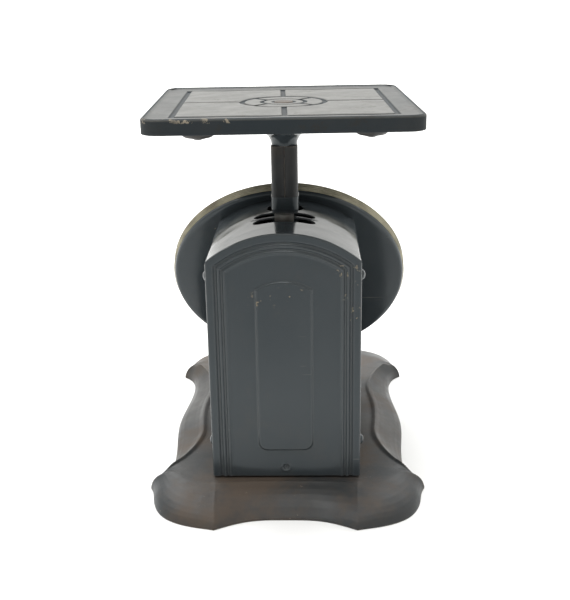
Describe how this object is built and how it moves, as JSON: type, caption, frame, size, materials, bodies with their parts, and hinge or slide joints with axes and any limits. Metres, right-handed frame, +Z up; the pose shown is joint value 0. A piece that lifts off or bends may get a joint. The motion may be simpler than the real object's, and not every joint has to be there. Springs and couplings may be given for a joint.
{
  "type": "kitchen spring scale",
  "caption": "Slanted-dial family spring scale with a square platform on a fluted post, an arched sheet-steel housing and a scalloped base.",
  "frame": {"origin": "middle of the base on the surface that the scale stands on", "axes": "+Z up along the post, -Y towards the person who reads the dial, +X to that person's right"},
  "size_m": [0.164, 0.263, 0.224],
  "materials": {
    "black_enamel": "glossy black stove enamel, fine scratches",
    "worn_enamel": "worn black enamel with brown rust patches",
    "cast_black": "black painted casting",
    "aged_brass": "aged khaki brass",
    "dial_brass": "satin brass with printed black numbers",
    "dial_glass": "clear flat glass",
    "plain_steel": "dull bare steel",
    "spring_steel": "blued spring wire",
    "pointer_black": "satin black"
  },
  "bodies": {
    "housing": {"base": "worn_enamel", "housing_shell": "black_enamel", "back_panel": "black_enamel", "front_plate": "black_enamel", "dial_dish": "black_enamel", "bezel": "aged_brass", "dial_face": "dial_brass", "glass_seat_ring": "aged_brass", "dial_glass": "dial_glass", "dial_rivets": "plain_steel", "movement_bracket": "plain_steel", "bracket_rivets": "plain_steel", "front_bush": "aged_brass", "rear_bush": "aged_brass", "rack_guide_pin": "plain_steel", "spring_hanger": "plain_steel", "upper_check_rod": "black_enamel", "lower_check_rod": "black_enamel", "left_spring": "spring_steel", "right_spring": "spring_steel"},
    "carriage": {"platform": "worn_enamel", "platform_spider": "cast_black", "platform_screw": "worn_enamel", "stem": "black_enamel", "stem_rivet": "plain_steel", "stem_ferrule": "black_enamel", "stem_collar": "black_enamel", "carriage_bar": "plain_steel", "spring_crossbar": "plain_steel", "crossbar_rivets": "plain_steel", "rack": "plain_steel", "rack_arm": "plain_steel", "rack_rivets": "plain_steel", "upper_link_pin": "plain_steel", "lower_link_pin": "plain_steel"},
    "pointer": {"pointer_shaft": "plain_steel", "pinion": "aged_brass", "pointer_hand": "pointer_black", "pointer_cap": "aged_brass"},
    "upper_link": {"upper_link": "plain_steel"},
    "lower_link": {"lower_link": "plain_steel"},
    "zero_screw": {"zero_screw": "plain_steel"}
  },
  "joints": [
    {"name": "platform_slide", "type": "slide", "parent": "housing", "child": "carriage", "axis": [0, 0, -1], "range_m": [0, 0.024], "stiffness_N_per_m": 4448, "springref_m": -0.004, "deforming": ["left_spring", "right_spring"]},
    {"name": "pointer_spin", "type": "hinge", "parent": "housing", "child": "pointer", "pos_m": [0, -0.02701, 0.0974], "axis": [0, -0.8712, 0.4909], "range_deg": [-360, 0]},
    {"name": "upper_link_pivot", "type": "hinge", "parent": "housing", "child": "upper_link", "pos_m": [0, 0.081, 0.133], "axis": [1, 0, 0], "range_deg": [0, 27]},
    {"name": "lower_link_pivot", "type": "hinge", "parent": "housing", "child": "lower_link", "pos_m": [0, 0.081, 0.031], "axis": [1, 0, 0], "range_deg": [0, 27]},
    {"name": "zero_screw_turn", "type": "hinge", "parent": "housing", "child": "zero_screw", "pos_m": [0, 0.0155, 0.1603], "axis": [0, 0, 1], "range_deg": [-360, 360]}
  ],
  "couplings": [
    {"joint": "pointer_spin", "follows": "platform_slide", "rad_per_m": -261.8},
    {"joint": "upper_link_pivot", "follows": "platform_slide", "rad_per_m": 19.63},
    {"joint": "lower_link_pivot", "follows": "platform_slide", "rad_per_m": 19.63}
  ]
}
